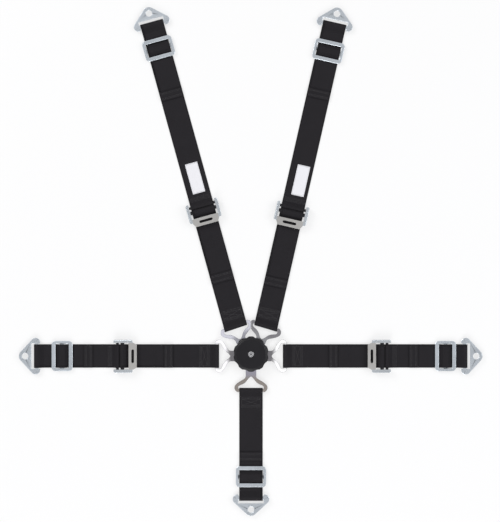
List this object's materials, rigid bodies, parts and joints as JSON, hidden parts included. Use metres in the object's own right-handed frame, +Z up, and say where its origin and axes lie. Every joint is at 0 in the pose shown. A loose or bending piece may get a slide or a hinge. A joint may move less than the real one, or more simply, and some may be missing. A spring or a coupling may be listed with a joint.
{
  "type": "five-point racing harness",
  "caption": "Five-point racing harness: rotary cam-lock buckle, shoulder, lap and crotch belts of black webbing, tilt adjusters, slides and bolt-in end plates.",
  "frame": {"origin": "on the buckle's turning axis at its flat back face, with the harness laid out flat", "axes": "+Y from the buckle toward the shoulder belts, +X toward the belt on the viewer's right, +Z up out of the knob's face"},
  "size_m": [0.9874, 1.0833, 0.0242],
  "materials": {
    "webbing": "woven polyester, charcoal black",
    "label": "plain white woven label",
    "knob": "satin black",
    "buckle_body": "black coated",
    "centre_metal": "bright",
    "tongue_nickel": "bright nickel plated",
    "zinc_plate": "zinc plated, pale blue-silver",
    "adjuster_steel": "brushed, warm silver",
    "bar_steel": "plated",
    "inner_steel": "machined",
    "spring_steel": "drawn wire"
  },
  "bodies": {
    "buckle_base": {"base_body": "buckle_body", "pin_plate": "inner_steel", "rear_screws": "inner_steel", "knob_washer": "centre_metal", "centre_screw": "centre_metal"},
    "knob": {"knob": "knob", "cam_ring": "inner_steel", "return_spring": "spring_steel"},
    "lock_pins": {"lock_pins": "inner_steel", "pin_springs": "spring_steel"},
    "left_shoulder_tongue": {"left_shoulder_tongue": "tongue_nickel"},
    "left_shoulder_inner_belt": {"left_shoulder_inner_webbing": "webbing"},
    "left_shoulder_feed": {"left_shoulder_lock_bar": "bar_steel", "left_shoulder_tail_webbing": "webbing"},
    "left_shoulder_adjuster": {"left_shoulder_adjuster_frame": "adjuster_steel", "left_shoulder_cross_pin": "bar_steel"},
    "left_shoulder_outer_belt": {"left_shoulder_outer_webbing": "webbing", "left_shoulder_slide": "zinc_plate", "left_shoulder_label": "label"},
    "left_shoulder_end": {"left_shoulder_end_plate": "zinc_plate"},
    "right_shoulder_tongue": {"right_shoulder_tongue": "tongue_nickel"},
    "right_shoulder_inner_belt": {"right_shoulder_inner_webbing": "webbing"},
    "right_shoulder_feed": {"right_shoulder_lock_bar": "bar_steel", "right_shoulder_tail_webbing": "webbing"},
    "right_shoulder_adjuster": {"right_shoulder_adjuster_frame": "adjuster_steel", "right_shoulder_cross_pin": "bar_steel"},
    "right_shoulder_outer_belt": {"right_shoulder_outer_webbing": "webbing", "right_shoulder_slide": "zinc_plate", "right_shoulder_label": "label"},
    "right_shoulder_end": {"right_shoulder_end_plate": "zinc_plate"},
    "left_lap_tongue": {"left_lap_tongue": "tongue_nickel"},
    "left_lap_inner_belt": {"left_lap_inner_webbing": "webbing"},
    "left_lap_feed": {"left_lap_lock_bar": "bar_steel", "left_lap_tail_webbing": "webbing"},
    "left_lap_adjuster": {"left_lap_adjuster_frame": "adjuster_steel", "left_lap_cross_pin": "bar_steel"},
    "left_lap_outer_belt": {"left_lap_outer_webbing": "webbing", "left_lap_slide": "zinc_plate"},
    "left_lap_end": {"left_lap_end_plate": "zinc_plate"},
    "right_lap_tongue": {"right_lap_tongue": "tongue_nickel"},
    "right_lap_inner_belt": {"right_lap_inner_webbing": "webbing"},
    "right_lap_feed": {"right_lap_lock_bar": "bar_steel", "right_lap_tail_webbing": "webbing"},
    "right_lap_adjuster": {"right_lap_adjuster_frame": "adjuster_steel", "right_lap_cross_pin": "bar_steel"},
    "right_lap_outer_belt": {"right_lap_outer_webbing": "webbing", "right_lap_slide": "zinc_plate"},
    "right_lap_end": {"right_lap_end_plate": "zinc_plate"},
    "crotch_tongue": {"crotch_tongue": "tongue_nickel"},
    "crotch_belt": {"crotch_webbing": "webbing", "crotch_slide": "zinc_plate"},
    "crotch_end": {"crotch_end_plate": "zinc_plate"}
  },
  "joints": [
    {"name": "knob_turn", "type": "hinge", "parent": "buckle_base", "child": "knob", "pos_m": [0, 0, 0.00933], "axis": [0, 0, -1], "range_deg": [-30, 0]},
    {"name": "lock_pins_lift", "type": "slide", "parent": "buckle_base", "child": "lock_pins", "axis": [0, 0, 1], "range_m": [-0.0034, 0], "deforming": ["pin_springs"]},
    {"name": "left_shoulder_tongue_release", "type": "slide", "parent": "buckle_base", "child": "left_shoulder_tongue", "axis": [-0.3584, 0.9336, 0], "range_m": [0, 0.06]},
    {"name": "left_shoulder_inner_swing", "type": "hinge", "parent": "left_shoulder_tongue", "child": "left_shoulder_inner_belt", "pos_m": [-0.0331, 0.05833, 0.00508], "axis": [-0.9336, -0.3584, 0], "range_deg": [-60, 60]},
    {"name": "left_shoulder_feed", "type": "slide", "parent": "left_shoulder_inner_belt", "child": "left_shoulder_feed", "axis": [-0.2664, 0.9639, 0], "range_m": [0, 0.08]},
    {"name": "left_shoulder_adjuster_tilt", "type": "hinge", "parent": "left_shoulder_feed", "child": "left_shoulder_adjuster", "pos_m": [-0.10149, 0.30576, 0.0055], "axis": [-0.9639, -0.2664, 0], "range_deg": [0, 35]},
    {"name": "left_shoulder_outer_swing", "type": "hinge", "parent": "left_shoulder_adjuster", "child": "left_shoulder_outer_belt", "pos_m": [-0.10431, 0.31597, 0.0046], "axis": [-0.9639, -0.2664, 0], "range_deg": [-35, 0]},
    {"name": "left_shoulder_end_swing", "type": "hinge", "parent": "left_shoulder_outer_belt", "child": "left_shoulder_end", "pos_m": [-0.21076, 0.70113, 0.00587], "axis": [-0.9639, -0.2664, 0], "range_deg": [-75, 75]},
    {"name": "right_shoulder_tongue_release", "type": "slide", "parent": "buckle_base", "child": "right_shoulder_tongue", "axis": [0.3338, 0.9426, 0], "range_m": [0, 0.06]},
    {"name": "right_shoulder_inner_swing", "type": "hinge", "parent": "right_shoulder_tongue", "child": "right_shoulder_inner_belt", "pos_m": [0.0319, 0.05878, 0.00508], "axis": [-0.9426, 0.3338, 0], "range_deg": [-60, 60]},
    {"name": "right_shoulder_feed", "type": "slide", "parent": "right_shoulder_inner_belt", "child": "right_shoulder_feed", "axis": [0.2215, 0.9751, 0], "range_m": [0, 0.08]},
    {"name": "right_shoulder_adjuster_tilt", "type": "hinge", "parent": "right_shoulder_feed", "child": "right_shoulder_adjuster", "pos_m": [0.0868, 0.30042, 0.0055], "axis": [-0.9751, 0.2215, 0], "range_deg": [0, 35]},
    {"name": "right_shoulder_outer_swing", "type": "hinge", "parent": "right_shoulder_adjuster", "child": "right_shoulder_outer_belt", "pos_m": [0.08915, 0.31075, 0.0046], "axis": [-0.9751, 0.2215, 0], "range_deg": [-35, 0]},
    {"name": "right_shoulder_end_swing", "type": "hinge", "parent": "right_shoulder_outer_belt", "child": "right_shoulder_end", "pos_m": [0.17757, 0.69994, 0.00587], "axis": [-0.9751, 0.2215, 0], "range_deg": [-75, 75]},
    {"name": "left_lap_tongue_release", "type": "slide", "parent": "buckle_base", "child": "left_lap_tongue", "axis": [-1, 0, 0], "range_m": [0, 0.06]},
    {"name": "left_lap_inner_swing", "type": "hinge", "parent": "left_lap_tongue", "child": "left_lap_inner_belt", "pos_m": [-0.07286, -0.005, 0.00508], "axis": [0, -1, 0], "range_deg": [-75, 75]},
    {"name": "left_lap_feed", "type": "slide", "parent": "left_lap_inner_belt", "child": "left_lap_feed", "axis": [-1, 0, 0], "range_m": [0, 0.08]},
    {"name": "left_lap_adjuster_tilt", "type": "hinge", "parent": "left_lap_feed", "child": "left_lap_adjuster", "pos_m": [-0.27387, -0.005, 0.0055], "axis": [0, -1, 0], "range_deg": [0, 35]},
    {"name": "left_lap_outer_swing", "type": "hinge", "parent": "left_lap_adjuster", "child": "left_lap_outer_belt", "pos_m": [-0.28447, -0.005, 0.0046], "axis": [0, -1, 0], "range_deg": [-35, 0]},
    {"name": "left_lap_end_swing", "type": "hinge", "parent": "left_lap_outer_belt", "child": "left_lap_end", "pos_m": [-0.45637, -0.005, 0.00587], "axis": [0, -1, 0], "range_deg": [-75, 75]},
    {"name": "right_lap_tongue_release", "type": "slide", "parent": "buckle_base", "child": "right_lap_tongue", "axis": [1, 0, 0], "range_m": [0, 0.06]},
    {"name": "right_lap_inner_swing", "type": "hinge", "parent": "right_lap_tongue", "child": "right_lap_inner_belt", "pos_m": [0.07286, -0.005, 0.00508], "axis": [0, 1, 0], "range_deg": [-75, 75]},
    {"name": "right_lap_feed", "type": "slide", "parent": "right_lap_inner_belt", "child": "right_lap_feed", "axis": [1, 0, 0], "range_m": [0, 0.08]},
    {"name": "right_lap_adjuster_tilt", "type": "hinge", "parent": "right_lap_feed", "child": "right_lap_adjuster", "pos_m": [0.27926, -0.005, 0.0055], "axis": [0, 1, 0], "range_deg": [0, 35]},
    {"name": "right_lap_outer_swing", "type": "hinge", "parent": "right_lap_adjuster", "child": "right_lap_outer_belt", "pos_m": [0.28986, -0.005, 0.0046], "axis": [0, 1, 0], "range_deg": [-35, 0]},
    {"name": "right_lap_end_swing", "type": "hinge", "parent": "right_lap_outer_belt", "child": "right_lap_end", "pos_m": [0.45516, -0.005, 0.00587], "axis": [0, 1, 0], "range_deg": [-75, 75]},
    {"name": "crotch_tongue_release", "type": "slide", "parent": "buckle_base", "child": "crotch_tongue", "axis": [0, -1, 0], "range_m": [0, 0.06]},
    {"name": "crotch_swing", "type": "hinge", "parent": "crotch_tongue", "child": "crotch_belt", "pos_m": [0, -0.0777, 0.00508], "axis": [1, 0, 0], "range_deg": [-75, 75]},
    {"name": "crotch_end_swing", "type": "hinge", "parent": "crotch_belt", "child": "crotch_end", "pos_m": [0, -0.3073, 0.00587], "axis": [1, 0, 0], "range_deg": [-75, 75]}
  ],
  "couplings": [
    {"joint": "lock_pins_lift", "follows": "knob_turn", "m_per_rad": 0.0064935},
    {"joint": "left_shoulder_outer_swing", "follows": "left_shoulder_adjuster_tilt", "ratio": -1},
    {"joint": "right_shoulder_outer_swing", "follows": "right_shoulder_adjuster_tilt", "ratio": -1},
    {"joint": "left_lap_outer_swing", "follows": "left_lap_adjuster_tilt", "ratio": -1},
    {"joint": "right_lap_outer_swing", "follows": "right_lap_adjuster_tilt", "ratio": -1}
  ]
}
